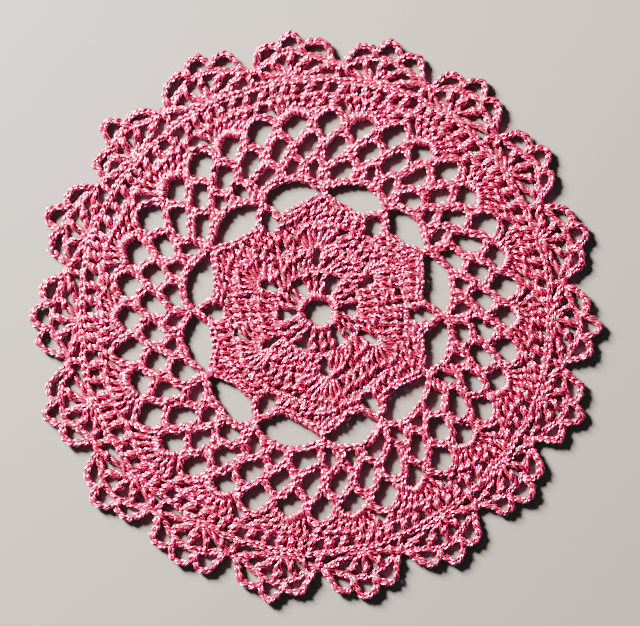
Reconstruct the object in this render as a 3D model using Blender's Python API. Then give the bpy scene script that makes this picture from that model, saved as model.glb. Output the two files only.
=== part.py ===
"""A crocheted lace doily lying flat: one round sheet of cotton lace, cut through at its open loops.

The doily is worked outwards in rounds from a small ring: a dense medallion of six petals, a round
of twelve long loops, three rounds of net, a solid band of fans, and eighteen scallops that each
carry three picots. Every shape is first placed on an even layout, by the angle at which it is
worked and its radius, and then shifted the way the finished rounds have settled.

Run it with: blender --background --python part.py
"""

from typing import NamedTuple

import bmesh
import bpy
import numpy as np

METRES_PER_MM = 0.001
WELD_DISTANCE = 0.000001

# Driving sizes, in millimetres. Angles are in degrees, anticlockwise from +X.
SHEET_THICKNESS = 2.0
RIM_RADIUS = 80.1
RING_RADIUS = 3.65
RING_POINTS = 20

# The radii where each row of shifts below holds in full; between them the shifts blend.
POST_RADIUS = 34.0
NET_RADIUS = 54.0
SCALLOP_RADIUS = 74.0

# The dips between scallops, and the side picots: their radii, and degrees from a scallop's middle.
SCALLOP_DIP_RADIUS = 71.5
SIDE_PICOT_RADIUS = 77.6
SIDE_PICOT_PLACE = 5.2
SIDE_PICOT_SPREAD = 5.0

# The ring was worked a little off the middle of the finished outline.
RING_OFFSET_X = 0.4
RING_OFFSET_Y = 1.4

# How often each thing repeats around the doily.
PETALS = 6
LONG_LOOPS = 12
NET_LOOPS = 36
SCALLOPS = 18


class PostShift(NamedTuple):
    """One of the posts between the long loops: its even place and how far it has turned."""

    place: float
    turned: float


class ScallopShift(NamedTuple):
    """One scallop: its even place, the turn and extra reach of the net below it and of itself,
    and how much further out each of its two side picots stands."""

    place: float
    net_turned: float
    net_reach: float
    rim_turned: float
    rim_reach: float
    first_side: float
    second_side: float


POST_SHIFTS = (
    PostShift(0, -1.5),
    PostShift(30, 0.0),
    PostShift(60, -3.0),
    PostShift(90, -2.5),
    PostShift(120, -2.0),
    PostShift(150, -1.0),
    PostShift(180, -1.5),
    PostShift(210, -1.0),
    PostShift(240, 0.0),
    PostShift(270, 2.0),
    PostShift(300, 0.0),
    PostShift(330, 1.0),
)

SCALLOP_SHIFTS = (
    ScallopShift(0, -0.7, -0.5, -2.5, -1.0, 1.1, -0.3),
    ScallopShift(20, -1.8, -0.6, -3.0, -0.9, 0.0, 0.0),
    ScallopShift(40, -1.3, 0.0, -5.0, -0.4, 0.0, 0.0),
    ScallopShift(60, -2.7, 0.8, -5.5, 1.0, 0.0, 0.0),
    ScallopShift(80, -3.8, 0.4, -6.0, 0.1, 0.0, 0.0),
    ScallopShift(100, -3.2, 0.2, -5.0, 0.0, 0.0, -0.6),
    ScallopShift(120, -2.8, -0.9, -5.0, 0.7, 0.5, 0.3),
    ScallopShift(140, -1.3, -0.4, -2.5, 0.7, -1.8, -3.4),
    ScallopShift(160, 1.2, 0.5, -1.5, 1.0, -0.7, 0.0),
    ScallopShift(180, 1.0, -0.8, -0.5, -0.2, 0.4, 1.0),
    ScallopShift(200, 0.6, 0.1, 0.0, 1.2, 0.4, -0.4),
    ScallopShift(220, 1.4, 0.9, 0.0, 1.5, 0.7, 0.1),
    ScallopShift(240, 0.6, 0.7, -0.5, -0.7, 1.5, 1.5),
    ScallopShift(260, 1.9, 0.5, 0.0, 0.7, 0.7, 0.1),
    ScallopShift(280, 0.5, 0.5, 0.0, -0.4, 0.7, 1.0),
    ScallopShift(300, 0.7, -0.8, -0.5, -1.0, 0.7, 1.0),
    ScallopShift(320, 0.6, -0.7, -0.5, -1.3, 1.0, -0.3),
    ScallopShift(340, -0.1, 0.1, -1.5, -0.4, 0.0, 0.3),
)


class Spot(NamedTuple):
    """A point of a shape: degrees to one side of the shape's middle, and radius in millimetres."""

    across: float
    out: float


# Half of a scallop's edge, from the dip beside it to the tip of its middle picot.
SCALLOP_EDGE = (
    Spot(10.0, SCALLOP_DIP_RADIUS),
    Spot(8.8, 73.0),
    Spot(8.0, 75.6),
    Spot(6.6, 77.3),
    Spot(4.6, SIDE_PICOT_RADIUS),
    Spot(3.2, 76.6),
    Spot(2.0, 78.6),
    Spot(0.8, RIM_RADIUS),
)

# A long loop, from the petal notch on one side to the petal tip on the other.
LONG_LOOP = (
    Spot(2.9, 34.9),
    Spot(6.0, 36.8),
    Spot(13.0, 37.7),
    Spot(20.5, 37.0),
    Spot(26.0, 35.4),
    Spot(27.2, 33.9),
    Spot(20.5, 31.7),
    Spot(14.0, 30.5),
    Spot(9.5, 30.0),
    Spot(5.5, 31.3),
    Spot(3.4, 33.1),
)


class Corner(NamedTuple):
    """A corner on one half of an opening: its share of the half width, and of the height."""

    side: float
    height: float


# Half outlines of the openings, from the foot up to the crown.
DROP = (Corner(0.0, 0.0), Corner(0.72, 0.26), Corner(1.0, 0.56), Corner(0.78, 0.85), Corner(0.0, 1.0))
ARCH = (Corner(0.0, 0.0), Corner(0.85, 0.12), Corner(1.0, 0.45), Corner(0.7, 0.85), Corner(0.0, 1.0))
LEAF = (Corner(0.0, 0.0), Corner(0.75, 0.25), Corner(1.0, 0.6), Corner(0.6, 0.88), Corner(0.0, 1.0))
SLIT = (Corner(0.0, 0.0), Corner(0.9, 0.3), Corner(1.0, 0.75), Corner(0.0, 1.0))


class Opening(NamedTuple):
    """One repeat of openings: how many, where the first is, its radii, half width and outline."""

    name: str
    count: int
    first: float
    low: float
    high: float
    half_width: float
    outline: tuple


OPENINGS = (
    Opening("slit between the first stitches", PETALS, 4, 6.2, 11.4, 0.8, SLIT),
    Opening("chain space under a petal", PETALS, 33.5, 13.8, 18.0, 0.8, LEAF),
    Opening("notch between two petals", PETALS, 2, 24.5, 31.2, 1.5, DROP),
    Opening("first net round, at a post", LONG_LOOPS, 3, 38.7, 42.6, 1.8, ARCH),
    Opening("first net round, on a loop", LONG_LOOPS, 13, 39.6, 43.8, 1.8, ARCH),
    Opening("first net round, by the next post", LONG_LOOPS, 23, 38.5, 42.4, 1.8, ARCH),
    Opening("second net round", NET_LOOPS, 6.2, 43.3, 50.1, 2.2, DROP),
    Opening("third net round, under a fan", SCALLOPS, 0, 49.4, 56.3, 3.0, DROP),
    Opening("third net round, between fans", SCALLOPS, 10, 49.6, 57.0, 2.1, DROP),
    Opening("middle picot", SCALLOPS, 0.3, 74.8, 78.5, 1.5, ARCH),
    Opening("first side picot", SCALLOPS, -5.0, 72.7, 76.0, 1.5, DROP),
    Opening("second side picot", SCALLOPS, 5.6, 72.7, 76.0, 1.5, DROP),
)


def shift_of(rows, column, angle):
    """A column of a shift table, read between its rows for each angle, round and round."""
    places = [row.place for row in rows]
    values = [getattr(row, column) for row in rows]
    return np.interp(angle, places, values, period=360.0)


def side_picot_reach(angle, radius):
    """How much further out the side picots stand: most at their middles, none below the scallop."""
    pitch = 360.0 / SCALLOPS
    row = np.rint(angle / pitch).astype(int)
    across = angle - row * pitch
    first = np.array([shift.first_side for shift in SCALLOP_SHIFTS])[row % SCALLOPS]
    second = np.array([shift.second_side for shift in SCALLOP_SHIFTS])[row % SCALLOPS]
    lobe = np.clip(1 - np.abs(np.abs(across) - SIDE_PICOT_PLACE) / SIDE_PICOT_SPREAD, 0.0, 1.0)
    picot_height = SIDE_PICOT_RADIUS - SCALLOP_DIP_RADIUS
    height = np.clip((radius - SCALLOP_DIP_RADIUS) / picot_height, 0.0, 1.0)
    return np.where(across < 0, first, second) * lobe * height


def settled(angle, radius):
    """Where points of the even layout lie on the finished doily, as x and y in millimetres."""
    angle = np.asarray(angle, dtype=float)
    radius = np.asarray(radius, dtype=float)
    to_net = np.clip((radius - POST_RADIUS) / (NET_RADIUS - POST_RADIUS), 0.0, 1.0)
    to_rim = np.clip((radius - NET_RADIUS) / (SCALLOP_RADIUS - NET_RADIUS), 0.0, 1.0)
    turned = (
        shift_of(POST_SHIFTS, "turned", angle) * (1 - to_net)
        + shift_of(SCALLOP_SHIFTS, "net_turned", angle) * (to_net - to_rim)
        + shift_of(SCALLOP_SHIFTS, "rim_turned", angle) * to_rim
    )
    reach = (
        shift_of(SCALLOP_SHIFTS, "net_reach", angle) * (to_net - to_rim)
        + shift_of(SCALLOP_SHIFTS, "rim_reach", angle) * to_rim
        + side_picot_reach(angle, radius)
    )
    outwards = radius / RIM_RADIUS
    true_angle = np.radians(angle + turned)
    x = RING_OFFSET_X * (1 - outwards) + (radius + reach) * np.cos(true_angle)
    y = RING_OFFSET_Y * (1 - outwards) + (radius + reach) * np.sin(true_angle)
    return np.stack([x, y], axis=-1)


def evenly(count, first=0.0):
    """The places of things repeated evenly around the doily."""
    return [first + 360.0 * index / count for index in range(count)]


def rim_outline():
    """The doily's edge, scallop after scallop, anticlockwise."""
    angles = []
    radii = []
    for middle in evenly(SCALLOPS):
        rising = [(-spot.across, spot.out) for spot in SCALLOP_EDGE]
        falling = [(spot.across, spot.out) for spot in SCALLOP_EDGE[:0:-1]]
        for across, out in rising + falling:
            angles.append(middle + across)
            radii.append(out)
    return settled(angles, radii)


def ring_outline():
    """The hole in the middle, a circle inside the first ring."""
    angles = evenly(RING_POINTS)
    return settled(angles, [RING_RADIUS] * RING_POINTS)


def long_loop_outline(notch, side):
    """One long loop, worked on the given side (1 or -1) of a petal notch."""
    return settled(
        [notch + side * spot.across for spot in LONG_LOOP],
        [spot.out for spot in LONG_LOOP],
    )


def opening_outline(opening, middle):
    """One opening: its half outline and that half's mirror image."""
    rising = [(corner.side, corner.height) for corner in opening.outline]
    falling = [(-corner.side, corner.height) for corner in opening.outline[-2:0:-1]]
    sides, heights = np.array(rising + falling).T
    radii = opening.low + heights * (opening.high - opening.low)
    across = np.degrees(sides * opening.half_width / radii)
    return settled(middle + across, radii)


def all_openings():
    """Every opening of the lace, from the ring outwards."""
    outlines = [ring_outline()]
    for notch in evenly(PETALS):
        for side in (1, -1):
            outlines.append(long_loop_outline(notch, side))
    for opening in OPENINGS:
        for middle in evenly(opening.count, opening.first):
            outlines.append(opening_outline(opening, middle))
    return outlines


def flat_curve(name, outlines):
    """A filled flat shape: the first outline is its edge, and the others are holes in it."""
    curve = bpy.data.curves.new(name, "CURVE")
    curve.dimensions = "2D"
    curve.fill_mode = "BOTH"
    curve.extrude = SHEET_THICKNESS / 2 * METRES_PER_MM
    for outline in outlines:
        spline = curve.splines.new("POLY")
        spline.points.add(len(outline) - 1)
        for point, (x, y) in zip(spline.points, outline):
            point.co = (x * METRES_PER_MM, y * METRES_PER_MM, 0.0, 1.0)
        spline.use_cyclic_u = True
    return bpy.data.objects.new(name, curve)


def as_closed_mesh(guide, name):
    """The evaluated curve as one mesh with its two faces welded to its walls; the curve goes."""
    depsgraph = bpy.context.evaluated_depsgraph_get()
    mesh = bpy.data.meshes.new_from_object(guide.evaluated_get(depsgraph))
    mesh.name = name
    work = bmesh.new()
    work.from_mesh(mesh)
    bmesh.ops.remove_doubles(work, verts=work.verts, dist=WELD_DISTANCE)
    bmesh.ops.recalc_face_normals(work, faces=work.faces)
    work.to_mesh(mesh)
    work.free()
    sheet = bpy.data.objects.new(name, mesh)
    sheet.matrix_world = guide.matrix_world.copy()
    bpy.data.objects.remove(guide)
    return sheet


def mercerised_cotton():
    """Pink mercerised cotton: a soft sheen, no metal."""
    material = bpy.data.materials.new("mercerised cotton")
    material.use_nodes = True
    shader = material.node_tree.nodes["Principled BSDF"]
    shader.inputs["Base Color"].default_value = (0.76, 0.17, 0.27, 1.0)
    shader.inputs["Roughness"].default_value = 0.6
    shader.inputs["Metallic"].default_value = 0.0
    return material


def build_doily():
    """The sheet of lace, with the middle of its outline over the origin and its underside at z = 0."""
    rim = rim_outline()
    middle = (rim.min(axis=0) + rim.max(axis=0)) / 2
    outlines = [outline - middle for outline in [rim] + all_openings()]
    collection = bpy.data.collections.new("lace doily")
    bpy.context.scene.collection.children.link(collection)
    guide = flat_curve("doily guide", outlines)
    guide.location.z = SHEET_THICKNESS / 2 * METRES_PER_MM
    collection.objects.link(guide)
    bpy.context.view_layer.update()
    doily = as_closed_mesh(guide, "doily")
    doily.data.materials.append(mercerised_cotton())
    collection.objects.link(doily)
    return doily


def main():
    for old in list(bpy.data.objects):
        bpy.data.objects.remove(old)
    build_doily()


main()
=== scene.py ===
# %% [markdown]
# # A crocheted lace doily
# A doily is one long yarn, worked with a hook into loops that hold each other. Nothing in it is
# woven or glued: every stitch is a short length of the same cotton, bent into the same few shapes.
# So this lesson models the yarn itself. It draws the line that each round of the lace follows,
# carries a small stitch shape along that line, and lays a thin tube over every strand. A flat
# plate with holes would be quicker, but it would have no strands to catch the light.

import bpy
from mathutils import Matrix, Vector
import numpy as np


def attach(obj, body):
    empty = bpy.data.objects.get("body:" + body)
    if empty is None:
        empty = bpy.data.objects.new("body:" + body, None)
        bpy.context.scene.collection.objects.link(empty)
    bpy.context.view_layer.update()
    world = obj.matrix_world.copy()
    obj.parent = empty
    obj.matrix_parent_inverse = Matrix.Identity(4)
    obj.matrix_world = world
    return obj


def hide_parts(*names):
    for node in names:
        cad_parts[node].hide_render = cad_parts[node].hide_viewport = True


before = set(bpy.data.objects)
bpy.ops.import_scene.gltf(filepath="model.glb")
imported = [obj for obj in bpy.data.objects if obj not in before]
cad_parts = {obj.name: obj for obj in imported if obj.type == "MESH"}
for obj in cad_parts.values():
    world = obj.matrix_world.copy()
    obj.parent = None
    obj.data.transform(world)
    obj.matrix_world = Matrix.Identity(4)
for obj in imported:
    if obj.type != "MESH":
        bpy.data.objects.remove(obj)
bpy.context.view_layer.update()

# %% [markdown]
# ## Units and the yarn
# Crochet is counted in millimetres, and Blender works in metres, so every length of the lace is in
# millimetres and is scaled once, when a mesh is made. The yarn is a thick crochet cotton of three
# plies, which are thinner threads twisted together. A strand is about 1 mm thick and a chain
# stitch about 2 mm long. A hand never makes two stitches quite alike, so a seeded generator gives
# each one small faults of its own.

# %% Sizes of the yarn
METRES_PER_MM = 0.001
YARN_DIAMETER = 1.10

# Heights above the table: the middle of the lace, and the lowest that a strand's middle may run.
MIDDLE_HEIGHT = 1.15
LOWEST = 0.72

# A strand is a tube with six sides. Every other corner stands out as the crest of a ply, and the
# ones between are grooves, so six corners make three plies. Both are shares of the yarn's radius.
SIDES = 6
PLY_CREST = 1.22
PLY_GROOVE = 0.76

# Millimetres of yarn to one full turn of its plies. The real yarn turns once in about 3 mm, and is
# drawn coarser here so that a light mesh can follow it.
TWIST_LENGTH = 4.1

# The low strands behind a tall stitch have few, long steps, which couldn't follow the twist. They
# are round tubes with no plies, and have this share of the yarn's radius.
BACK_SHARE = 1.05

hand = np.random.default_rng(18)
print("yarn", YARN_DIAMETER, "mm thick; the lace is about", 2 * MIDDLE_HEIGHT, "mm thick")

# %% [markdown]
# ## The even layout, and how the lace has settled
# A pattern is even: six petals, twelve long loops, thirty-six net loops, eighteen scallops. The
# finished lace isn't, because each round pulls on the one before it. Every point is therefore
# named by its even angle and radius, and one function moves it to where that part of the lace
# came to rest. The two small tables hold that drift, and they are the same ones as in the solid.

# %% How often each part repeats, and the radii of the layout in millimetres
PETALS = 6
LONG_LOOPS = 12
NET_LOOPS = 36
SCALLOPS = 18
RIM_RADIUS = 80.1

# Where the shifts of the posts, the net and the scallops hold in full. Between, they blend.
POST_RADIUS = 34.0
NET_RADIUS = 54.0
SCALLOP_RADIUS = 74.0

# Where the side picots' own shifts begin and hold in full. Their place and spread are in degrees
# to each side of a scallop's middle.
SCALLOP_DIP_RADIUS = 71.5
SIDE_PICOT_RADIUS = 77.6
SIDE_PICOT_PLACE = 5.2
SIDE_PICOT_SPREAD = 5.0

# The ring was worked a little off the middle, and the middle of the outline is the origin.
RING_OFFSET = np.array([0.4, 1.4])
OUTLINE_MIDDLE = np.array([-0.4735, 0.08197])

# Degrees that each post between two long loops has turned. Turns and posts both count
# anticlockwise, and the first post is the one on +X.
POST_TURNED = np.array([-1.5, 0.0, -3.0, -2.5, -2.0, -1.0, -1.5, -1.0, 0.0, 2.0, 0.0, 1.0])

# For each scallop: turn (degrees) and reach (mm) of the net below it, then its own turn and reach,
# and the further reach of its two side picots, the clockwise one first.
(
    NET_TURNED, NET_REACH, RIM_TURNED, RIM_REACH, CLOCKWISE_PICOT_REACH, ANTICLOCKWISE_PICOT_REACH,
) = np.array([
    [-0.7, -0.5, -2.5, -1.0, 1.1, -0.3],
    [-1.8, -0.6, -3.0, -0.9, 0.0, 0.0],
    [-1.3, 0.0, -5.0, -0.4, 0.0, 0.0],
    [-2.7, 0.8, -5.5, 1.0, 0.0, 0.0],
    [-3.8, 0.4, -6.0, 0.1, 0.0, 0.0],
    [-3.2, 0.2, -5.0, 0.0, 0.0, -0.6],
    [-2.8, -0.9, -5.0, 0.7, 0.5, 0.3],
    [-1.3, -0.4, -2.5, 0.7, -1.8, -3.4],
    [1.2, 0.5, -1.5, 1.0, -0.7, 0.0],
    [1.0, -0.8, -0.5, -0.2, 0.4, 1.0],
    [0.6, 0.1, 0.0, 1.2, 0.4, -0.4],
    [1.4, 0.9, 0.0, 1.5, 0.7, 0.1],
    [0.6, 0.7, -0.5, -0.7, 1.5, 1.5],
    [1.9, 0.5, 0.0, 0.7, 0.7, 0.1],
    [0.5, 0.5, 0.0, -0.4, 0.7, 1.0],
    [0.7, -0.8, -0.5, -1.0, 0.7, 1.0],
    [0.6, -0.7, -0.5, -1.3, 1.0, -0.3],
    [-0.1, 0.1, -1.5, -0.4, 0.0, 0.3],
]).T
print("a scallop has turned by up to", np.abs(RIM_TURNED).max(), "degrees")


# %% Move points of the even layout to where they came to rest
def read_around(values, angle):
    """Values spaced evenly around the circle, read between their neighbours, round and round."""
    places = np.arange(len(values)) * 360.0 / len(values)
    return np.interp(angle, places, values, period=360.0)


def side_picot_reach(angle, radius):
    """Extra reach of the side picots: a tent across each one, times how far up the scallop it is."""
    pitch = 360.0 / SCALLOPS
    nearest = np.rint(angle / pitch).astype(int)
    across = angle - nearest * pitch
    row = nearest % SCALLOPS
    reach = np.where(across < 0, CLOCKWISE_PICOT_REACH[row], ANTICLOCKWISE_PICOT_REACH[row])
    tent = np.clip(1 - np.abs(np.abs(across) - SIDE_PICOT_PLACE) / SIDE_PICOT_SPREAD, 0.0, 1.0)
    rise = (radius - SCALLOP_DIP_RADIUS) / (SIDE_PICOT_RADIUS - SCALLOP_DIP_RADIUS)
    return reach * tent * np.clip(rise, 0.0, 1.0)


def settled(angle, radius):
    """x and y in mm: the radius plus its reach, at the angle plus its turn, from the ring's middle.
    The ring's offset shrinks evenly with the radius, and is nothing at the rim."""
    angle, radius = np.broadcast_arrays(np.asarray(angle, float), np.asarray(radius, float))
    to_net = np.clip((radius - POST_RADIUS) / (NET_RADIUS - POST_RADIUS), 0.0, 1.0)
    to_rim = np.clip((radius - NET_RADIUS) / (SCALLOP_RADIUS - NET_RADIUS), 0.0, 1.0)
    turned = (
        read_around(POST_TURNED, angle) * (1 - to_net)
        + read_around(NET_TURNED, angle) * (to_net - to_rim)
        + read_around(RIM_TURNED, angle) * to_rim
    )
    reach = (
        read_around(NET_REACH, angle) * (to_net - to_rim)
        + read_around(RIM_REACH, angle) * to_rim
        + side_picot_reach(angle, radius)
    )
    at = np.radians(angle + turned)
    outward = np.stack([np.cos(at), np.sin(at)], axis=-1) * (radius + reach)[..., None]
    return outward + RING_OFFSET * (1 - radius / RIM_RADIUS)[..., None] - OUTLINE_MIDDLE


print("first picot tip at", settled(0.0, RIM_RADIUS).round(1), "mm")

# %% [markdown]
# ## Lines that stitches follow
# A round of lace is one motif again and again: an arch, a post, a scallop. So a line is written
# once, as a few points in even degrees and millimetres, and a whole array of its repeats is
# worked out together. Curve objects would also do, one to a line, but arrays handle thousands of
# stitches in a few steps. A smooth curve then goes through the points. It is cut into equal
# steps, because stitches are all about as long as each other, wherever the line bends.

# %% Repeat a motif around the doily
def evenly(count, first=0.0):
    """The angles of things repeated evenly around the doily."""
    return first + np.arange(count) * 360.0 / count


def motif(middles, points):
    """One line per middle: its points are degrees to the side of the middle, and radius in mm."""
    across, out = np.array(points, float).T
    return settled(middles[:, None] + across, out)


def mirrored(points, side):
    """A motif's points, moved to the other side of its middle where side is -1."""
    return [(side * across, out) for across, out in points]


print("petals repeat at", evenly(PETALS), "degrees")


# %% Smooth a line, and measure along it
def smooth(corners, samples):
    """Points on a smooth curve through corners. Each span is a cubic whose slope at a corner is half
    the step between that corner's two neighbours."""
    last = corners.shape[1] - 1
    place = np.linspace(0, last, samples)
    span = np.minimum(place.astype(int), last - 1)
    share = (place - span)[None, :, None]
    near = np.clip(span[:, None] + np.arange(-1, 3), 0, last)
    before, start, stop, after = np.moveaxis(corners[:, near], 2, 0)
    bend = 2 * before - 5 * start + 4 * stop - after + share * (3 * (start - stop) + after - before)
    return start + 0.5 * share * (stop - before + share * bend)


def run_lengths(points):
    """How far along its line each point is, as the sum of the steps up to it."""
    steps = np.linalg.norm(np.diff(points, axis=1), axis=2)
    return np.concatenate([np.zeros((len(points), 1)), np.cumsum(steps, axis=1)], axis=1)


# %% Cut smooth lines into equal steps
# Points to each corner before the cut, and corners that a closed line borrows from each end.
FINE_STEPS = 12
BORROWED = 3


def even_lines(corners, steps, closed=False):
    """Smooth lines cut into equal steps. A closed line first borrows corners from its other end, to
    be as smooth where it closes as elsewhere, and the borrowed part is cut off again."""
    if closed:
        corners = np.concatenate([corners[:, -BORROWED:], corners, corners[:, :BORROWED + 1]], axis=1)
    fine = smooth(corners, corners.shape[1] * FINE_STEPS)
    lengths = run_lengths(fine)
    if closed:
        spans = corners.shape[1] - 1
        ends = np.array([BORROWED, spans - BORROWED]) / spans * (fine.shape[1] - 1)
        first, last = ends.round().astype(int)
        fine = fine[:, first:last + 1]
        lengths = lengths[:, first:last + 1]
    targets = lengths[:, :1] + (lengths[:, -1:] - lengths[:, :1]) * np.linspace(0, 1, steps + 1)
    return np.stack([
        np.stack([np.interp(target, length, points[:, axis]) for axis in (0, 1)], axis=-1)
        for target, length, points in zip(targets, lengths, fine)
    ])


def repeated(points, repeats, steps, first=0.0):
    """Smooth lines through a motif's points, one for each of its repeats around the doily."""
    return even_lines(motif(evenly(repeats, first), points), steps)


# %% Lines that go right round the doily
# Corners of a circle, and equal steps of any line that goes right round.
ROUND_CORNERS = 72
ROUND_STEPS = 1440


def circle(radius):
    """A closed line at one even radius."""
    corners = settled(evenly(ROUND_CORNERS), radius)
    return even_lines(corners[None], ROUND_STEPS, closed=True)


def garland(points, repeats):
    """A closed line through the points of one motif, again and again around the doily."""
    across, out = np.array(points).T
    angles = (evenly(repeats)[:, None] + across).reshape(1, -1)
    return even_lines(settled(angles, np.tile(out, repeats)), ROUND_STEPS, closed=True)


print("a circle at the rim is", run_lengths(circle(RIM_RADIUS))[0, -1].round(), "mm around")

# %% [markdown]
# ## Carry a stitch along a line
# A stitch is a handful of corner points: how far they stand to the right of the line, where they
# come along it, and how high they are above the table. Carrying them along a line bends the
# stitch with the line, as a finger would. Five small random numbers make the work look made by
# hand: each stitch is a little wider or narrower than the last, is pushed aside, along or up, and
# rolls a little about its line. The yarn rests on the table, so no corner goes under the lowest.

# %% How much one stitch differs from the next
# Standard deviations: share of the width, mm aside, share of the length, mm up, radians of roll.
WIDTH_FAULT = 0.10
ASIDE_FAULT = 0.06
SLIP_FAULT = 0.05
LIFT_FAULT = 0.08
ROLL_FAULT = 0.25
print("most stitches roll by less than", round(float(np.degrees(ROLL_FAULT)), 1), "degrees")


# %% Carry corners along lines
def carried(lines, feet, stitch, length, uneven=1.0):
    """Corner points of stitches on lines. Each corner is at its foot's share of the line plus its own
    place times the stitch's length, and steps to the right of the line, at right angles to it. The
    stitch is first rolled about its line: its width and height are turned by the roll's angle."""
    corners = np.asarray(stitch, float)
    across, along, up = np.moveaxis(corners.reshape(-1, 1, *corners.shape[-2:]), -1, 0)
    total = run_lengths(lines)[:, -1][:, None, None]
    last = lines.shape[1] - 1
    count = (len(lines), len(feet), 1)
    width = 1 + uneven * hand.normal(0, WIDTH_FAULT, count)
    aside = uneven * hand.normal(0, ASIDE_FAULT, count)
    slip = uneven * hand.normal(0, SLIP_FAULT, count)
    lift = uneven * hand.normal(0, LIFT_FAULT, count)
    roll = uneven * hand.normal(0, ROLL_FAULT, count)
    place = (np.asarray(feet)[None, :, None] * total + (along + slip) * length) / total * last
    span = np.clip(np.floor(place).astype(int), 0, last - 1)
    rows = np.arange(len(lines))[:, None, None]
    start = lines[rows, span]
    heading = lines[rows, span + 1] - start
    right = np.stack([heading[..., 1], -heading[..., 0]], axis=-1)
    right /= np.linalg.norm(right, axis=-1, keepdims=True)
    high = up - MIDDLE_HEIGHT
    sideways = across * width * np.cos(roll) - high * np.sin(roll) + aside
    upward = MIDDLE_HEIGHT + across * width * np.sin(roll) + high * np.cos(roll) + lift
    flat = start + (place - span)[..., None] * heading + sideways[..., None] * right
    upward = np.broadcast_to(np.maximum(upward, LOWEST), flat.shape[:-1])
    return np.concatenate([flat, upward[..., None]], axis=-1).reshape(-1, corners.shape[-2], 3)


# %% [markdown]
# ## Chain stitch
# A chain stitch is a loop pulled up through the loop before it. Seen from above it is a V: two
# strands come up out of the last loop, spread, and close again behind the next one. Below, a
# single bump joins it to its neighbour. One line of eleven corners describes all of that. On the
# heads of tall stitches the same chain lies flatter, because they pull it down.

# %% The shape of a chain stitch: right of the line (mm), along it (stitches), up (mm)
CHAIN = (
    (0.26, -0.92, 0.62), (0.12, -0.50, 0.60), (-0.16, -0.06, 0.78), (-0.30, 0.28, 1.42),
    (-0.60, 0.70, 1.64), (-0.56, 1.08, 1.34), (0.0, 1.40, 0.80), (0.56, 1.08, 1.34),
    (0.60, 0.70, 1.64), (0.30, 0.28, 1.42), (0.18, -0.04, 0.80),
)

# The points that each chain is cut into, and how high a flat chain rises as a share of a free one.
CHAIN_SAMPLES = 15
FLAT = 0.42
chain_width = 2 * max(corner[0] for corner in CHAIN) + YARN_DIAMETER
print("chain stitch is", round(chain_width, 2), "mm wide")


# %% Work a run of chains
def chains(lines, count, wide=1.0, high=1.0):
    """Strands of count chains on each line, which are as long as the line allows. Wide scales how far
    a chain reaches aside, and high how far it rises above the lowest that a strand may run. The
    second value says that their yarn shows its plies."""
    shape = np.array(CHAIN) * [wide, 1.0, high] + [0.0, 0.0, LOWEST * (1 - high)]
    length = run_lengths(lines)[:, -1].mean() / count
    return smooth(carried(lines, np.arange(count) / count, shape, length), CHAIN_SAMPLES), True


# %% [markdown]
# ## Tall stitches
# A double crochet starts under the top of the round below, and stands as a post of two legs that
# twist around each other, because the hook turned them. One more strand is wrapped around its
# waist. Seen from above, each half turn of the twist is a short slanting stroke, and so is the
# wrap. Two low strands fill the gap behind. The short posts of the net have no wrap. A post could
# be drawn corner by corner, but a helix needs only a width and the length of a half turn. Slim
# posts with long half turns stand apart like columns. Wide ones with short half turns close up
# into a bumpy cloth, so the rounds differ in those two numbers.

# %% The parts of a post: aside (mm), along (mm), up (mm)
# A foot starts low, on the far side of the round below. It comes up through it, or goes over it.
UNDER_FOOT = ((0.15, 0.0, 0.62), (0.30, 0.3, 1.40))
OVER_FOOT = ((0.22, 0.0, 0.62), (0.26, 0.10, 1.50), (0.26, 0.80, 2.00))
HEAD = (0.26, 0.40, 0.75)

# Where the twist of a leg has its corners (shares of the post), and how far it rises (mm).
LEG_PLACES = np.linspace(0.03, 0.96, 9)
LEG_RISE = 0.46

# A wrap reaches this far past the legs (mm). Its corners' aside is a share of its whole reach.
WRAP_PAST_LEGS = 0.36
WRAP = (
    (-0.5, -0.80, 0.60), (-1.0, -0.75, 1.10), (-0.62, -0.42, 1.82), (0.0, 0.0, 2.04),
    (0.62, 0.42, 1.82), (1.0, 0.75, 1.10), (0.5, 0.80, 0.60),
)

# A back strand's aside is a share of the post's width, and its along a share of the post.
BACK = ((0.8, -0.1, 0.58), (0.3, 0.28, 0.58), (1.1, 0.66, 0.58), (0.5, 1.05, 0.58))

# The most points that one strand of a post is cut into.
MOST_SAMPLES = 19

# Standard deviations: radians of twist, mm of sway and of lean, and where the wrap is, as a share.
TWIST_FAULT = 0.9
SWAY_FAULT = 0.14
LEAN_FAULT = 0.28
WAIST_FAULT = 0.08
print("a leg has", len(UNDER_FOOT) + len(LEG_PLACES) + 1, "corners, or one more where it goes over")


# %% Strands of a post
def legs(total, side, width, turned, half_turn, hook, over):
    """One leg of each post. Between foot and head it is a helix: aside by the width times the cosine
    of its turn, and up by the rise times the sine. It turns by pi in each half turn's length, and
    starts half a turn away from the other leg. Its foot starts a hook's length before the line."""
    start = side * np.pi / 2 + np.pi / 2 + turned[:, None]
    turn = start + np.pi * total[:, None] / half_turn * LEG_PLACES
    up = MIDDLE_HEIGHT + LEG_RISE * np.sin(turn)
    helix = np.stack([-width * np.cos(turn), LEG_PLACES + 0 * turn, up], axis=-1)
    foot = np.array(OVER_FOOT if over else UNDER_FOOT) * [side, 1.0, 1.0] - [0.0, hook, 0.0]
    head = np.array([HEAD]) * [side, 1.0, 1.0]
    foot, head = (np.repeat(end[None], len(total), axis=0) for end in (foot, head))
    foot[..., 1] /= total[:, None]
    head[..., 1] = 1 + head[..., 1] / total[:, None]
    return np.concatenate([foot, helix, head], axis=1)


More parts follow.
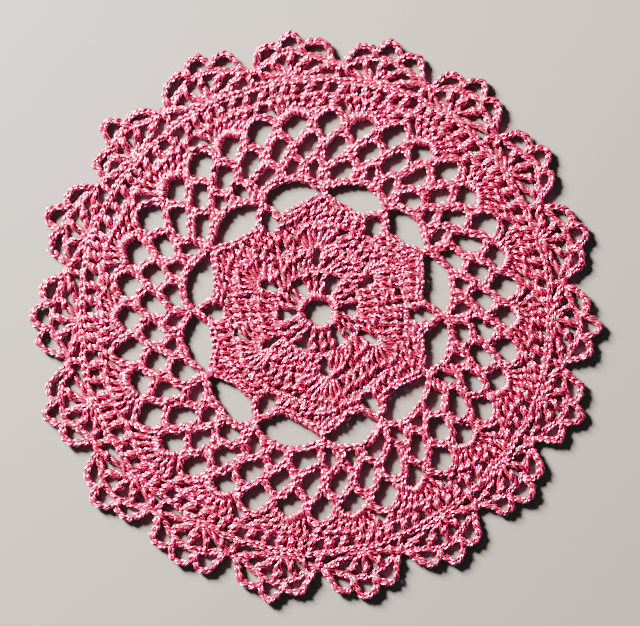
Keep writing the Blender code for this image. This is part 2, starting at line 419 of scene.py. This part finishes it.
def wraps(total, width, waist):
    """The strand around each post's waist: half a turn over it, from its lower left to upper right."""
    centre = waist + hand.normal(0, WAIST_FAULT, len(total))
    across, along, up = np.array(WRAP).T
    along = along / total[:, None] + centre[:, None]
    reach = width + WRAP_PAST_LEGS
    return np.stack([across * reach + 0 * along, along, up + 0 * along], axis=-1)


def backs(count, aside):
    """One low strand behind each post, which sways aside between its foot and its head."""
    return np.repeat(np.array(BACK)[None] * [aside, 1.0, 1.0], count, axis=0)


# %% Work a round of posts
def posts(lines, wrapped=True, uneven=1.0, width=0.56, half_turn=1.9, hook=0.95, waist=0.54, over=False):
    """Strands of one tall stitch on each line, from its foot to its head. Width is how far the legs
    swing aside (mm), half turn how long half a twist is (mm), hook how far the foot reaches back
    (mm), waist where the wrap is (a share), and over takes the foot over the round below. Each post
    is moved aside by its sway, plus its lean times the share of the post from its middle."""
    total = run_lengths(lines)[:, -1]
    turned = uneven * hand.normal(0, TWIST_FAULT, len(lines))
    sway = hand.normal(0, SWAY_FAULT, (len(lines), 1))
    lean = hand.normal(0, LEAN_FAULT, (len(lines), 1))
    shapes = [(legs(total, side, width, turned, half_turn, hook, over), True) for side in (-1, 1)]
    if wrapped:
        shapes.append((wraps(total, width, waist), True))
    shapes += [(backs(len(lines), side * width), False) for side in (-1, 1)]
    strands = []
    for shape, plied in shapes:
        shape[..., 0] += uneven * (sway + lean * (shape[..., 1] - 0.5))
        samples = min(MOST_SAMPLES, 2 * shape.shape[1] - 1)
        corners = carried(lines, [0.0], shape, total[:, None, None], uneven)
        strands.append((smooth(corners, samples), plied))
    return strands


# %% [markdown]
# ## Yarn over every strand
# A tube is a ring of points carried along a line. If each ring were aimed on its own, the tube
# would spin where the line turns. So the ring's first spoke is handed on from step to step, and
# only loses what points along the yarn. Then the ring is turned on purpose, once in each twist
# length, and every other point of it stands further out. Those three ridges are the plies, in real
# shape: they catch the light and shade each other, which plies painted on a round tube would not.
# The tube also keeps a map: how many millimetres along the yarn a point is, and how far around it
# is, counted from a groove that twists with the yarn.

# %% Numbers of the tubes
# The first spoke is square to the yarn and to this line, which no strand starts along.
AIM = (0.31, 0.17, 0.93)

# Each strand shows another stretch of the yarn, which starts up to this many millimetres along it.
LATEST_START = 30.0

# Two faces close the six corners at the end of a tube.
END_FACES = ([0, 1, 2, 3], [3, 4, 5, 0])
print("a strand's plies start up to", round(LATEST_START / TWIST_LENGTH, 1), "twists along the yarn")


# %% Wrap strands in yarn
def carried_spokes(tangent):
    """The first spoke of each ring: the last ring's own, less what points along the yarn."""
    spoke = np.empty_like(tangent)
    carry = np.cross(tangent[:, 0], AIM)
    for step in range(tangent.shape[1]):
        carry = carry - (carry * tangent[:, step]).sum(axis=1, keepdims=True) * tangent[:, step]
        carry = carry / np.linalg.norm(carry, axis=1, keepdims=True)
        spoke[:, step] = carry
    return spoke


def yarn_mesh(strands, radius, plied):
    """Vertices, faces and their map for tubes around strands, which all have as many points. A ring
    is its middle plus each corner's reach times cos and sin of its turn, on the carried spoke and on
    the line square to that. A plied ring turns with the twist, and its reach goes from groove to
    crest and back at every other corner. Other rings are round and don't turn."""
    count, steps, _ = strands.shape
    tangent = np.gradient(strands, axis=1)
    tangent /= np.linalg.norm(tangent, axis=2, keepdims=True)
    spoke = carried_spokes(tangent)
    along = run_lengths(strands) + hand.uniform(0, LATEST_START, (count, 1))
    turn = (np.arange(SIDES) / SIDES - along[:, :, None] / TWIST_LENGTH * plied) * 2 * np.pi
    shares = np.where(np.arange(SIDES) % 2, PLY_CREST, PLY_GROOVE) if plied else np.full(SIDES, BACK_SHARE)
    reach = radius * shares
    aside = spoke[:, :, None]
    upright = np.cross(tangent, spoke)[:, :, None]
    ring = (reach * np.cos(turn))[..., None] * aside + (reach * np.sin(turn))[..., None] * upright
    points = (strands[:, :, None] + ring).reshape(-1, 3)

    index = np.arange(count * steps * SIDES).reshape(count, steps, SIDES)
    after = np.roll(index, -1, axis=2)
    walls = np.stack([index[:, :-1], after[:, :-1], after[:, 1:], index[:, 1:]], axis=-1).reshape(-1, 4)
    near = index[:, 0]
    far = index[:, -1]
    ends = [near[:, face[::-1]] for face in END_FACES] + [far[:, face] for face in END_FACES]
    ends = np.concatenate(ends)

    along = np.repeat(along[:, :, None], SIDES, axis=2)
    around = np.broadcast_to(np.arange(SIDES) / SIDES, along.shape)
    wall_along = np.stack([along[:, :-1], along[:, :-1], along[:, 1:], along[:, 1:]], axis=-1)
    here = around[:, 1:]
    wall_around = np.stack([here, here + 1 / SIDES, here + 1 / SIDES, here], axis=-1)
    wall_map = np.stack([wall_along, wall_around], axis=-1).reshape(-1, 4, 2)
    point_map = np.stack([along, around], axis=-1).reshape(-1, 2)
    return points, np.concatenate([walls, ends]), np.concatenate([wall_map, point_map[ends]])


# %% [markdown]
# ## The pull of the yarn
# Besides the faults of single stitches, a worked piece sways over longer stretches, because the
# hand's pull on the yarn is never quite steady. Eight slow waves of different lengths and headings
# give that. All the pieces share them, so rounds that touch move together and stay joined.

# %% Sway the lace a little
# Length and height of the waves (mm), and each one's heading and start (radians).
PULL_LENGTHS = np.array([6.0, 7.5, 9.0, 11.0, 13.0, 16.0, 20.0, 25.0])
PULL_HEIGHT = 0.11
PULLS = hand.uniform(0, 2 * np.pi, (len(PULL_LENGTHS), 2))


def pulled(points):
    """Points moved by a sum of waves. Each wave is a sine of how far a point lies along the wave's
    heading, and moves it along that heading and to its left, by up to the pull's height each."""
    for length, (heading, start) in zip(PULL_LENGTHS, PULLS):
        toward = np.array([np.cos(heading), np.sin(heading), 0.0])
        sideways = np.array([-toward[1], toward[0], 0.0])
        wave_height = PULL_HEIGHT * np.sin(points @ toward * 2 * np.pi / length + start)
        points = points + wave_height[:, None] * (toward + sideways)
    return points


print("the waves are", PULL_LENGTHS.min(), "to", PULL_LENGTHS.max(), "mm long")


# %% Join strands into one piece
def lace_piece(name, work, thinness):
    """One mesh from many arrays of strands, in metres, with the yarn's own map. Thinness is the share
    of the yarn's diameter that it is drawn with there."""
    points, faces, maps, seen = [], [], [], 0
    for strands, plied in work:
        part_points, part_faces, part_map = yarn_mesh(strands, YARN_DIAMETER / 2 * thinness, plied)
        points.append(pulled(part_points))
        faces.append(part_faces + seen)
        maps.append(part_map)
        seen += len(part_points)
    points, faces, maps = (np.concatenate(parts) for parts in (points, faces, maps))
    mesh = bpy.data.meshes.new(name)
    mesh.vertices.add(len(points))
    mesh.vertices.foreach_set("co", (points * METRES_PER_MM).astype(np.float32).ravel())
    mesh.loops.add(faces.size)
    mesh.loops.foreach_set("vertex_index", faces.astype(np.int32).ravel())
    mesh.polygons.add(len(faces))
    mesh.polygons.foreach_set("loop_start", np.arange(len(faces), dtype=np.int32) * 4)
    mesh.update(calc_edges=True)
    mesh.shade_smooth()
    layer = mesh.uv_layers.new(name="yarn")
    layer.data.foreach_set("uv", maps.astype(np.float32).ravel())
    mesh.validate()
    piece = bpy.data.objects.new(name, mesh)
    bpy.context.scene.collection.objects.link(piece)
    print(name, "has", len(work), "sets of strands and", 2 * len(faces), "triangles")
    return piece


# %% [markdown]
# ## Mercerised cotton
# Mercerised cotton is cotton thread that was drawn through caustic soda under tension. The soda
# swells the fibres until they are round and smooth, so the yarn takes dye deeply and has a silky
# lustre. The dye is a strong pink, a little deeper in some stretches than in others. The plies
# shine along their crests, and that sheen is pink too, because much of the light goes into the
# dyed fibres and comes out again. The grooves between plies, and the gaps deep between strands,
# lie in a shade that is a red nearly black, because light that gets in there meets dyed cotton
# again and again. A render that follows few bounces loses that last one, so the material paints
# that shade on: it darkens the colour toward that red and dulls the gloss in the grooves and
# low down in the lace.

# %% Colours from sRGB hex, made linear
def from_hex(text):
    """Linear red, green and blue: each sRGB share over 0.04045 is (share + 0.055) / 1.055 to the 2.4."""
    share = np.array([int(text[place:place + 2], 16) for place in (1, 3, 5)]) / 255
    linear = np.where(share <= 0.04045, share / 12.92, ((share + 0.055) / 1.055) ** 2.4)
    return (*linear.tolist(), 1.0)


PINK = "#DA1048"
DEEP_PINK = "#A4062E"
# The near-black red of the painted shade, in the grooves between plies and low in the lace.
PAINTED_SHADE = "#240002"
SHEEN = "#FF86D2"
print("pink is", [round(value, 3) for value in from_hex(PINK)[:3]], "linear")


# %% Add one node with its settings and links
def node(tree, kind, settings=None, links=None):
    """A shader node: settings are its own values or its sockets' values, links are socket: output."""
    made = tree.nodes.new(kind)
    for name, value in (settings or {}).items():
        if isinstance(name, int) or name in made.inputs.keys():
            made.inputs[name].default_value = value
        else:
            setattr(made, name, value)
    for name, output in (links or {}).items():
        tree.links.new(output, made.inputs[name])
    return made


# %% Plies, gloss and patterns of the cotton
PLIES = 3

# Cotton's index is 1.53, which mirrors 4 % of the light that meets it head-on. Light that comes
# out of the fibres again adds to the sheen, and here it counts as gloss. So the index is raised,
# which makes the crests as bright as real ones.
COTTON_INDEX = 4.0

# Silky yarn has a roughness of about 0.4. Much of that is its plies and fibres, which have a shape
# of their own here, so the surface between them is smoother.
COTTON_ROUGHNESS = 0.25

# Noise cells to a metre. The dye changes over about 17 mm. Fibres are about 0.02 mm thick, and are
# drawn coarser, at about 0.4 mm, which a render of the whole doily can still just show.
DYE_SCALE = 60.0
FIBRE_SCALE = 2600.0
NOISE_DETAIL = 2.0

# The ply height at which the painted shade of the grooves would be gone. A crest has 1, so it keeps a
# little of that shade.
CLEAR_HEIGHT = 1.1

# Strands get the darkest painted shade below the first height (mm), and have their full colour above the
# second.
DARK_BELOW = 0.6
LIT_ABOVE = 1.6
DARKEST = 0.05

# How far plies stand out in the bump (mm), and the fibres' share of that.
BUMP_HEIGHT = 0.2
FIBRE_SHARE = 0.25
dye_length, fibre_length = (round(1 / scale / METRES_PER_MM, 1) for scale in (DYE_SCALE, FIBRE_SCALE))
print("the dye changes over", dye_length, "mm and the fibres over", fibre_length, "mm")


# %% The yarn's material
def mercerised_cotton(name):
    """Pink mercerised cotton yarn. Ply height is the size of the sine of pi times the plies times the
    turns around the yarn: 0 in a groove and 1 on a crest. A point's unshaded share is its ply
    height's share of the clear height, times how lit its height above the table is. That mixes a
    painted shade, a red nearly black, into the dye's colour in the grooves and low in the lace, and
    sets the gloss: none at 0, the index's own at 0.5 and double at 1."""
    material = bpy.data.materials.new(name)
    material.use_nodes = True
    tree = material.node_tree
    shader = tree.nodes["Principled BSDF"]
    shader.inputs["Roughness"].default_value = COTTON_ROUGHNESS
    shader.inputs["Specular Tint"].default_value = from_hex(SHEEN)
    shader.inputs["IOR"].default_value = COTTON_INDEX

    yarn = node(tree, "ShaderNodeUVMap", {"uv_map": "yarn"})
    split = node(tree, "ShaderNodeSeparateXYZ", links={0: yarn.outputs[0]})
    by_plies = {"operation": "MULTIPLY", 1: float(PLIES * np.pi)}
    turned = node(tree, "ShaderNodeMath", by_plies, {0: split.outputs["Y"]})
    sine = node(tree, "ShaderNodeMath", {"operation": "SINE"}, {0: turned.outputs[0]})
    height = node(tree, "ShaderNodeMath", {"operation": "ABSOLUTE"}, {0: sine.outputs[0]})

    place = node(tree, "ShaderNodeTexCoord")
    at_place = {"Vector": place.outputs["Object"]}
    patches = node(tree, "ShaderNodeTexNoise", {"Scale": DYE_SCALE, "Detail": NOISE_DETAIL}, at_place)
    fibres = node(tree, "ShaderNodeTexNoise", {"Scale": FIBRE_SCALE, "Detail": NOISE_DETAIL}, at_place)

    # A mix of colours takes them at sockets 6 and 7, and gives the mixed one at output 2.
    tint = node(tree, "ShaderNodeMix", {"data_type": "RGBA"}, {0: patches.outputs["Fac"]})
    tint.inputs[6].default_value = from_hex(PINK)
    tint.inputs[7].default_value = from_hex(DEEP_PINK)
    # Painted shade in the grooves: the colour darkens where the ply height is low.
    out_of_groove = {"From Min": 0.0, "From Max": CLEAR_HEIGHT, "To Min": 0.0, "To Max": 1.0}
    ply_shade_mask = node(tree, "ShaderNodeMapRange", out_of_groove, {0: height.outputs[0]})
    # Painted shade low in the lace: strands darken the nearer they run to the table, between and under
    # other strands.
    out_of_depth = {
        "From Min": DARK_BELOW * METRES_PER_MM,
        "From Max": LIT_ABOVE * METRES_PER_MM,
        "To Min": DARKEST,
        "To Max": 1.0,
    }
    above_table = node(tree, "ShaderNodeSeparateXYZ", links={0: place.outputs["Object"]})
    depth_shade_mask = node(tree, "ShaderNodeMapRange", out_of_depth, {0: above_table.outputs["Z"]})
    # Both shares make one painted shade, which mixes the dark red into the tint and dims the gloss there.
    both = {0: ply_shade_mask.outputs[0], 1: depth_shade_mask.outputs[0]}
    unshaded_share = node(tree, "ShaderNodeMath", {"operation": "MULTIPLY"}, both)
    shade_to_tint = {0: unshaded_share.outputs[0], 7: tint.outputs[2]}
    colour = node(tree, "ShaderNodeMix", {"data_type": "RGBA"}, shade_to_tint)
    colour.inputs[6].default_value = from_hex(PAINTED_SHADE)
    tree.links.new(colour.outputs[2], shader.inputs["Base Color"])
    tree.links.new(unshaded_share.outputs[0], shader.inputs["Specular IOR Level"])

    fibres_on_plies = {0: fibres.outputs["Fac"], 2: height.outputs[0]}
    add_share = {"operation": "MULTIPLY_ADD", 1: FIBRE_SHARE}
    relief = node(tree, "ShaderNodeMath", add_share, fibres_on_plies)
    bump_size = {"Strength": 1.0, "Distance": BUMP_HEIGHT * METRES_PER_MM}
    bump = node(tree, "ShaderNodeBump", bump_size, {"Height": relief.outputs[0]})
    tree.links.new(bump.outputs[0], shader.inputs["Normal"])
    return material


cotton = mercerised_cotton("pink_mercerised_cotton")
print("the cotton's material has", len(cotton.node_tree.nodes), "nodes")

# %% [markdown]
# ## The medallion
# The middle is a small ring with four rounds of double crochet. The first round is worked over
# the ring, in six groups of three with a slit between groups. In the second, each group grows to
# seven, with a chain space between groups. In the third, nine stitches fan out of each space and
# four stand between the fans. The fourth closes the six petals, twelve stitches to each. Heads
# are spread along a round, and feet are drawn together where the yarn went into a space. A flat
# chain lies on the heads of the first three rounds, and the petals' edge is a raised one.

# %% Lines from feet to heads
def fan(feet, heads, repeats):
    """Straight lines from feet to heads, one for each stitch of each repeat. Feet and heads are each
    a pair: their angles in even degrees, and their radii in mm or the one radius that they share."""
    middles = evenly(repeats)[:, None]
    ends = [settled(middles + np.asarray(angles), radii) for angles, radii in (feet, heads)]
    return np.stack(ends, axis=2).reshape(-1, 2, 2)


# %% The ring and its first round, whose feet go over the ring
FIRST_FEET = ((18.5, 35.0, 51.0), 5.7)
FIRST_HEADS = ((19.3, 35.2, 51.0), 11.2)
heart = []
heart.append(chains(circle(radius=4.5), count=19, high=FLAT))
first_round = fan(FIRST_FEET, FIRST_HEADS, PETALS)
heart += posts(first_round, width=0.46, half_turn=3.0, hook=1.8, waist=0.8, uneven=0.3, over=True)
heart.append(chains(circle(radius=11.9), count=42, wide=0.8, high=FLAT))
print("first round has", len(first_round), "stitches")

# %% The second round, with its six chain spaces
SECOND_FEET = (np.linspace(40.2, 87.4, 7), 12.5)
SECOND_HEADS = (np.linspace(42.2, 85.4, 7), 18.0)
SECOND_TOP = (
    (0.0, 18.7), (12.0, 18.7), (24.0, 18.8), (29.5, 19.2), (33.8, 19.5), (38.1, 19.2), (43.6, 18.8),
)
second_round = fan(SECOND_FEET, SECOND_HEADS, PETALS)
heart += posts(second_round, half_turn=3.0, width=0.62, waist=0.7, uneven=0.7)
heart.append(chains(garland(SECOND_TOP, PETALS), count=68, wide=0.8, high=FLAT))
print("second round has", len(second_round), "stitches")

# %% The third round: nine stitches fan out of each space, and four stand between the fans
# The chain space is at this many degrees, and a fan's points are degrees from it and radius (mm).
SPACE = 33.8
FAN_FEET = (
    (-7.6, 16.3), (-6.9, 17.4), (-5.1, 18.3), (-3.2, 18.8), (-1.3, 19.0),
    (0.8, 19.0), (2.8, 18.8), (4.7, 18.3), (6.3, 17.4),
)
FAN_HEADS = (
    (-21.5, 20.4), (-19.5, 22.6), (-14.6, 24.3), (-9.6, 25.1), (-4.6, 25.5),
    (0.5, 25.6), (5.6, 25.4), (10.6, 24.9), (15.5, 24.2),
)
BETWEEN_FEET = ((52.0, 58.5, 65.0, 71.5), (19.3, 19.4, 19.3, 18.9))
BETWEEN_HEADS = ((54.2, 59.8, 65.4, 71.0), (24.0, 23.8, 23.8, 23.8))
feet_across, feet_out = np.array(FAN_FEET).T
heads_across, heads_out = np.array(FAN_HEADS).T
petals = []
out_of_space = fan((SPACE + feet_across, feet_out), (SPACE + heads_across, heads_out), PETALS)
petals += posts(out_of_space, half_turn=6.0, width=0.50, hook=0.5, waist=0.82, uneven=0.5)
between = fan(BETWEEN_FEET, BETWEEN_HEADS, PETALS)
petals += posts(between, half_turn=3.0, width=0.60, waist=0.7, uneven=0.7)
petals.append(chains(circle(radius=25.2), count=92, wide=0.8, high=FLAT))
print("third round has", len(out_of_space) + len(between), "stitches")

# %% The fourth round, whose heads are points of the petals' edge, and that edge
PETAL_EDGE = (
    (4.6, 29.8), (9.5, 28.9), (14.0, 29.3), (20.5, 30.4), (27.2, 32.5), (30.0, 33.1),
    (32.8, 32.5), (39.5, 30.4), (46.0, 29.3), (50.5, 28.9), (55.4, 29.8),
)

# The angles of a petal's feet, and the radius that they share.
FOURTH_FEET = (4.6, 9.6, 14.6, 19.6, 24.6, 28.6, 31.4, 35.4, 40.4, 45.4, 50.4, 55.4)
FOURTH_RADIUS = 25.4

# Equal steps along an edge, and from each head to the next.
EDGE_STEPS = 96
STEPS_TO_A_HEAD = 8

petal_edge = repeated(PETAL_EDGE, PETALS, EDGE_STEPS)
fourth_heads = petal_edge[:, STEPS_TO_A_HEAD // 2::STEPS_TO_A_HEAD]
fourth_feet = motif(evenly(PETALS), [(angle, FOURTH_RADIUS) for angle in FOURTH_FEET])
fourth_round = np.stack([fourth_feet, fourth_heads], axis=2).reshape(-1, 2, 2)
petals += posts(fourth_round, half_turn=2.4, width=0.62, waist=0.4, uneven=0.7)
petals.append(chains(petal_edge, count=18, wide=1.15, high=1.2))
print("fourth round has", len(fourth_round), "stitches")

# %% [markdown]
# ## Long loops and the posts that carry them
# Twelve long chain loops stand around the medallion. They hang from its petal tips, and from the
# notches between petals, where two posts lean together and meet.

# %% Posts at the notches and the petal tips, and the loops between them
LEANING_POST = ((5.6, 30.2), (3.6, 31.6), (0.6, 33.4))
NOTCH_POST = ((0.0, 33.4), (0.0, 35.9))
TIP_POST = ((-0.6, 33.6), (0.0, 36.0))
LONG_LOOP = ((0.0, 35.6), (6.0, 37.9), (13.0, 38.8), (20.5, 38.1), (26.0, 36.6), (30.0, 35.8))

# Equal steps along a post and along an arch, and the degrees from a notch to a petal's tip.
POST_STEPS = 8
ARCH_STEPS = 48
TIP_ANGLE = 30.0

loops = []
for side in (1, -1):
    loops += posts(repeated(mirrored(LEANING_POST, side), PETALS, POST_STEPS), wrapped=False)
loops += posts(repeated(NOTCH_POST, PETALS, POST_STEPS), wrapped=False)
loops += posts(repeated(TIP_POST, PETALS, POST_STEPS, TIP_ANGLE), wrapped=False)
for side in (1, -1):
    long_loops = repeated(mirrored(LONG_LOOP, side), PETALS, ARCH_STEPS)
    loops.append(chains(long_loops, count=11))
    print("long loops are", run_lengths(long_loops)[:, -1].round(1), "mm long")

# %% [markdown]
# ## Three rounds of net
# Each net round is a string of small chain arches. At the foot of every arch a short stitch goes
# down into the top of the arch below, so the holes are staggered like bricks. Its legs straddle
# the chain that they grip, so it is drawn as a pair of posts, apart at the foot and nearly
# together at the head. The third net round has two kinds of arch by turns: one that carries a fan
# and is pressed flat under it, and a plain one that stands up.

# %% Chains of the three net rounds
FIRST_NET = (
    (-0.4, 41.4), (3.4, 44.4), (8.0, 41.8), (12.3, 45.0), (16.8, 42.3), (21.4, 44.7), (26.0, 43.2),
)
SECOND_NET = ((0.4, 47.8), (2.9, 50.2), (5.6, 51.4), (8.1, 50.4))
FAN_ARCH = ((-5.2, 53.6), (-3.4, 56.2), (0.0, 57.6), (3.2, 56.2), (4.8, 53.6))
PLAIN_ARCH = ((4.8, 53.6), (6.8, 56.6), (9.9, 58.1), (12.9, 56.6), (14.8, 53.6))
net = [
    chains(garland(FIRST_NET, LONG_LOOPS), count=150, wide=1.1),
    chains(garland(SECOND_NET, NET_LOOPS), count=192, wide=1.1),
]
last_net = [
    chains(repeated(FAN_ARCH, SCALLOPS, ARCH_STEPS), count=6, wide=1.1, high=FLAT),
    chains(repeated(PLAIN_ARCH, SCALLOPS, ARCH_STEPS), count=6, wide=1.1),
]
print("net rounds have", sum(len(strands) for strands, _ in net + last_net), "chains")


# %% Stitches of the net rounds, each a pair of posts that straddles the arch below
# The share of the feet's spread that the heads keep.
HEAD_SPREAD = 0.35


def pair(repeats, foot, head, spread):
    """Two posts from one foot to one head. Each foot stands aside from the middle by the spread in
    degrees, and each head by that times the head's share."""
    lines = [
        motif(evenly(repeats), [
            (foot[0] + side * spread, foot[1]),
            (head[0] + side * spread * HEAD_SPREAD, head[1]),
        ])
        for side in (-1, 1)
    ]
    return posts(np.concatenate(lines), wrapped=False, width=0.46)


net += pair(LONG_LOOPS, foot=(8.0, 38.9), head=(8.0, 42.0), spread=1.5)
net += pair(LONG_LOOPS, foot=(17.2, 38.9), head=(16.9, 42.4), spread=1.4)
net += pair(LONG_LOOPS, foot=(-0.6, 36.6), head=(-0.4, 41.6), spread=1.2)
net += pair(NET_LOOPS, foot=(2.2, 44.8), head=(0.5, 48.4), spread=1.1)
last_net += pair(NET_LOOPS, foot=(5.6, 51.6), head=(4.9, 54.4), spread=1.0)
print("the net has", 3 * LONG_LOOPS + 2 * NET_LOOPS, "such pairs")

# %% [markdown]
# ## The band of fans
# Eighteen fans of double crochet fill the third net round. Their feet go over the pressed arches
# and hide them, and one more stitch stands between two fans. A second round of double crochet
# stands on their heads, and dark slits open between its stitches.

# %% Fans, the stitches between them, and the flat chain on their heads
FANS_FEET = (np.linspace(3.7, -4.1, 7), (56.3, 57.2, 57.8, 58.1, 57.8, 57.1, 56.2))
FANS_HEADS = (np.linspace(6.4, -8.0, 7), 61.2)
LONE_FOOT = ((10.0,), 58.4)
LONE_HEAD = ((9.3,), 61.2)
fan_work = []
fans = fan(FANS_FEET, FANS_HEADS, SCALLOPS)
fan_work += posts(fans, width=0.40, half_turn=2.6, hook=1.8, waist=0.85, uneven=0.4, over=True)
fan_work += posts(fan(LONE_FOOT, LONE_HEAD, SCALLOPS))
fan_work.append(chains(circle(radius=61.5), count=198, wide=0.9, high=FLAT))
print("fans have", len(fans), "stitches")

# %% The tall round on the fans' heads, and the chain on its own
TALL_FEET = ((8.2, 4.9, 2.2, 0.0, -3.7, -7.9), (61.8, 62.6, 62.0, 61.4, 62.2, 61.7))
TALL_HEADS = ((7.9, 5.6, 2.8, -0.3, -4.2, -7.5), (65.2, 65.8, 65.4, 65.0, 65.6, 65.2))
band = []
tall = fan(TALL_FEET, TALL_HEADS, SCALLOPS)
band += posts(tall, width=0.70, half_turn=1.6, waist=0.45, uneven=0.5)
band.append(chains(circle(radius=66.0), count=216))
print("tall round has", len(tall), "stitches")

# %% [markdown]
# ## Scallops and picots
# Each scallop is five double crochets that stand in the round below and open like the fingers of
# a hand, with a flat chain over their tips. One short stitch goes down between two scallops.
# Three picots, which are small loops of chain, stand out from each scallop's edge.

# %% The five fingers of each scallop, and the stitch between scallops
FINGERS = (
    ((1.4, 67.2), (4.2, 67.8), (7.4, 68.9), (9.8, 70.4)),
    ((1.1, 67.5), (2.7, 69.2), (4.1, 71.0), (4.9, 72.4)),
    ((0.8, 67.2), (0.85, 70.5), (0.9, 73.6)),
    ((0.3, 67.5), (-1.4, 69.4), (-2.8, 71.3), (-3.5, 72.6)),
    ((0.0, 67.2), (-3.4, 67.7), (-6.6, 69.6), (-9.4, 70.9)),
)

# The stitch between two scallops, and how many degrees it is from a scallop's middle.
DIP_POST = ((0.3, 66.6), (0.3, 70.4))
DIP_ANGLE = 10.0

edging = []
for finger in FINGERS:
    fingers = repeated(finger, SCALLOPS, POST_STEPS)
    edging += posts(fingers, width=0.56, half_turn=3.4, waist=0.7, uneven=0.6)
edging += posts(motif(evenly(SCALLOPS, DIP_ANGLE), DIP_POST), wrapped=False)
print("scallops have", len(FINGERS) * SCALLOPS, "fingers")

# %% The edge of each scallop, and its three picots
EDGE = (
    (-10.0, 70.4), (-8.0, 71.0), (-5.2, 72.2), (-2.4, 73.8), (0.6, 74.5),
    (3.4, 73.8), (5.8, 72.4), (8.2, 71.0), (10.0, 70.4),
)
MIDDLE_PICOT = (
    (3.2, 74.6), (2.8, 76.6), (1.9, 78.5), (0.3, 79.5), (-1.1, 78.5), (-1.7, 76.6), (-2.2, 74.6),
)
ANTICLOCKWISE_PICOT = ((9.0, 71.4), (8.1, 74.2), (7.2, 76.2), (5.7, 77.0), (4.2, 76.7), (3.0, 75.0))
CLOCKWISE_PICOT = ((-2.0, 75.0), (-3.0, 76.5), (-4.3, 76.9), (-5.9, 76.3), (-6.8, 74.4), (-8.2, 71.6))
edging.append(chains(repeated(EDGE, SCALLOPS, EDGE_STEPS), count=15, wide=0.85, high=FLAT))
picots = [
    chains(repeated(picot, SCALLOPS, ARCH_STEPS), count=6, wide=0.85)
    for picot in (MIDDLE_PICOT, ANTICLOCKWISE_PICOT, CLOCKWISE_PICOT)
]
print("there are", len(picots) * SCALLOPS, "picots")

# %% [markdown]
# ## Make the pieces
# Each group of rounds becomes one mesh, because thousands of separate strands would be slow to
# handle and no easier to change. The last number is how thick the yarn is drawn there, as a share
# of its diameter. It is thinnest in the medallion, so that dark gaps stay between strands, and has
# its full thickness in the open loops and net.

# %% Nine meshes, with the cotton on them
pieces = {
    name: lace_piece(name, work, thinness)
    for name, work, thinness in (
        ("medallion_heart", heart, 0.79),
        ("medallion_petals", petals, 0.79),
        ("long_loops", loops, 1.04),
        ("net_rounds", net, 1.02),
        ("last_net_round", last_net, 1.02),
        ("fan_round", fan_work, 0.86),
        ("tall_round", band, 0.91),
        ("scallop_edging", edging, 0.96),
        ("picots", picots, 0.94),
    )
}
for piece in pieces.values():
    piece.data.materials.append(cotton)
    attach(piece, "root")
    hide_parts("doily")

# %% [markdown]
# ## The yarn's surface
# The nine pieces are one sheet of soft lace, which lies flat on the table as it was finished.
# Each piece's yarn surface is summed from the areas of its faces, in square metres.

# %% Measure the yarn's own surface
def surface(piece):
    """The sum of the areas of a piece's faces, in square metres."""
    areas = np.empty(len(piece.data.polygons), np.float32)
    piece.data.polygons.foreach_get("area", areas)
    return float(areas.sum())


print("yarn surface in square metres:", {name: round(surface(piece), 4) for name, piece in pieces.items()})

# %% [markdown]
# ## Floor, camera and light
# The doily lies on a plain pale floor, and the camera looks straight down at it. Lace is all
# small relief, and relief shows when light comes from one side. So the key light stands at the
# upper left, low enough to shade one side of every ply and high enough that the openings stay
# open. It is wider than the doily, which softens the shadows, and a weak fill light and a little
# light from all round keep them from going black.

# %% The floor, a mid grey that is pale in the key light
FLOOR_HALF = 2.0
FLOOR_GREY = "#66625C"
FLOOR_ROUGHNESS = 0.8
floor_corners = [(x * FLOOR_HALF, y * FLOOR_HALF, 0) for x, y in ((-1, -1), (1, -1), (1, 1), (-1, 1))]
floor_mesh = bpy.data.meshes.new("floor")
floor_mesh.from_pydata(floor_corners, [], [(0, 1, 2, 3)])
floor = bpy.data.objects.new("floor", floor_mesh)
bpy.context.scene.collection.objects.link(floor)
paint = bpy.data.materials.new("matt_grey_paint")
paint.use_nodes = True
paint_shader = paint.node_tree.nodes["Principled BSDF"]
paint_shader.inputs["Base Color"].default_value = from_hex(FLOOR_GREY)
paint_shader.inputs["Roughness"].default_value = FLOOR_ROUGHNESS
floor_mesh.materials.append(paint)
print("the floor is", 2 * FLOOR_HALF, "m wide")

# %% The camera: the width of floor that it sees, what it is above, and its height (mm)
VIEW_WIDTH = 179.2
VIEW_MIDDLE = (1.3, 0.9)
CAMERA_HEIGHT = 600.0
SENSOR_WIDTH = 36.0
lens = bpy.data.cameras.new("camera")
lens.sensor_width = SENSOR_WIDTH
lens.lens = SENSOR_WIDTH * CAMERA_HEIGHT / VIEW_WIDTH
camera = bpy.data.objects.new("camera", lens)
camera.location = [value * METRES_PER_MM for value in (*VIEW_MIDDLE, CAMERA_HEIGHT)]
bpy.context.scene.collection.objects.link(camera)
bpy.context.scene.camera = camera
print("the lens is", round(lens.lens, 1), "mm")


# %% The lights
def area_light(name, place, size, power, colour):
    """A square light that shines at the doily's middle, with its place and size in metres and its
    power in watts."""
    data = bpy.data.lights.new(name, "AREA")
    data.size = size
    data.energy = power
    data.color = from_hex(colour)[:3]
    light = bpy.data.objects.new(name, data)
    light.location = place
    light.rotation_euler = (-Vector(place)).to_track_quat("-Z", "Y").to_euler()
    bpy.context.scene.collection.objects.link(light)
    return light


key = area_light("key", place=(-0.59, 0.52, 0.40), size=0.24, power=146.0, colour="#FFF8F4")
area_light("fill", place=(0.5, -0.5, 0.8), size=0.8, power=0.3, colour="#EAF1FF")
key_angle = np.degrees(np.arctan2(key.location.z, key.location.xy.length))
print("the key light is", round(float(key_angle)), "degrees above the floor")

# %% A little light from all round
SKY = "#E8ECF2"
SKY_STRENGTH = 0.12
world = bpy.data.worlds.new("studio")
world.use_nodes = True
background = world.node_tree.nodes["Background"]
background.inputs["Color"].default_value = from_hex(SKY)
background.inputs["Strength"].default_value = SKY_STRENGTH
bpy.context.scene.world = world
print("the world gives", SKY_STRENGTH, "of its colour from all round")
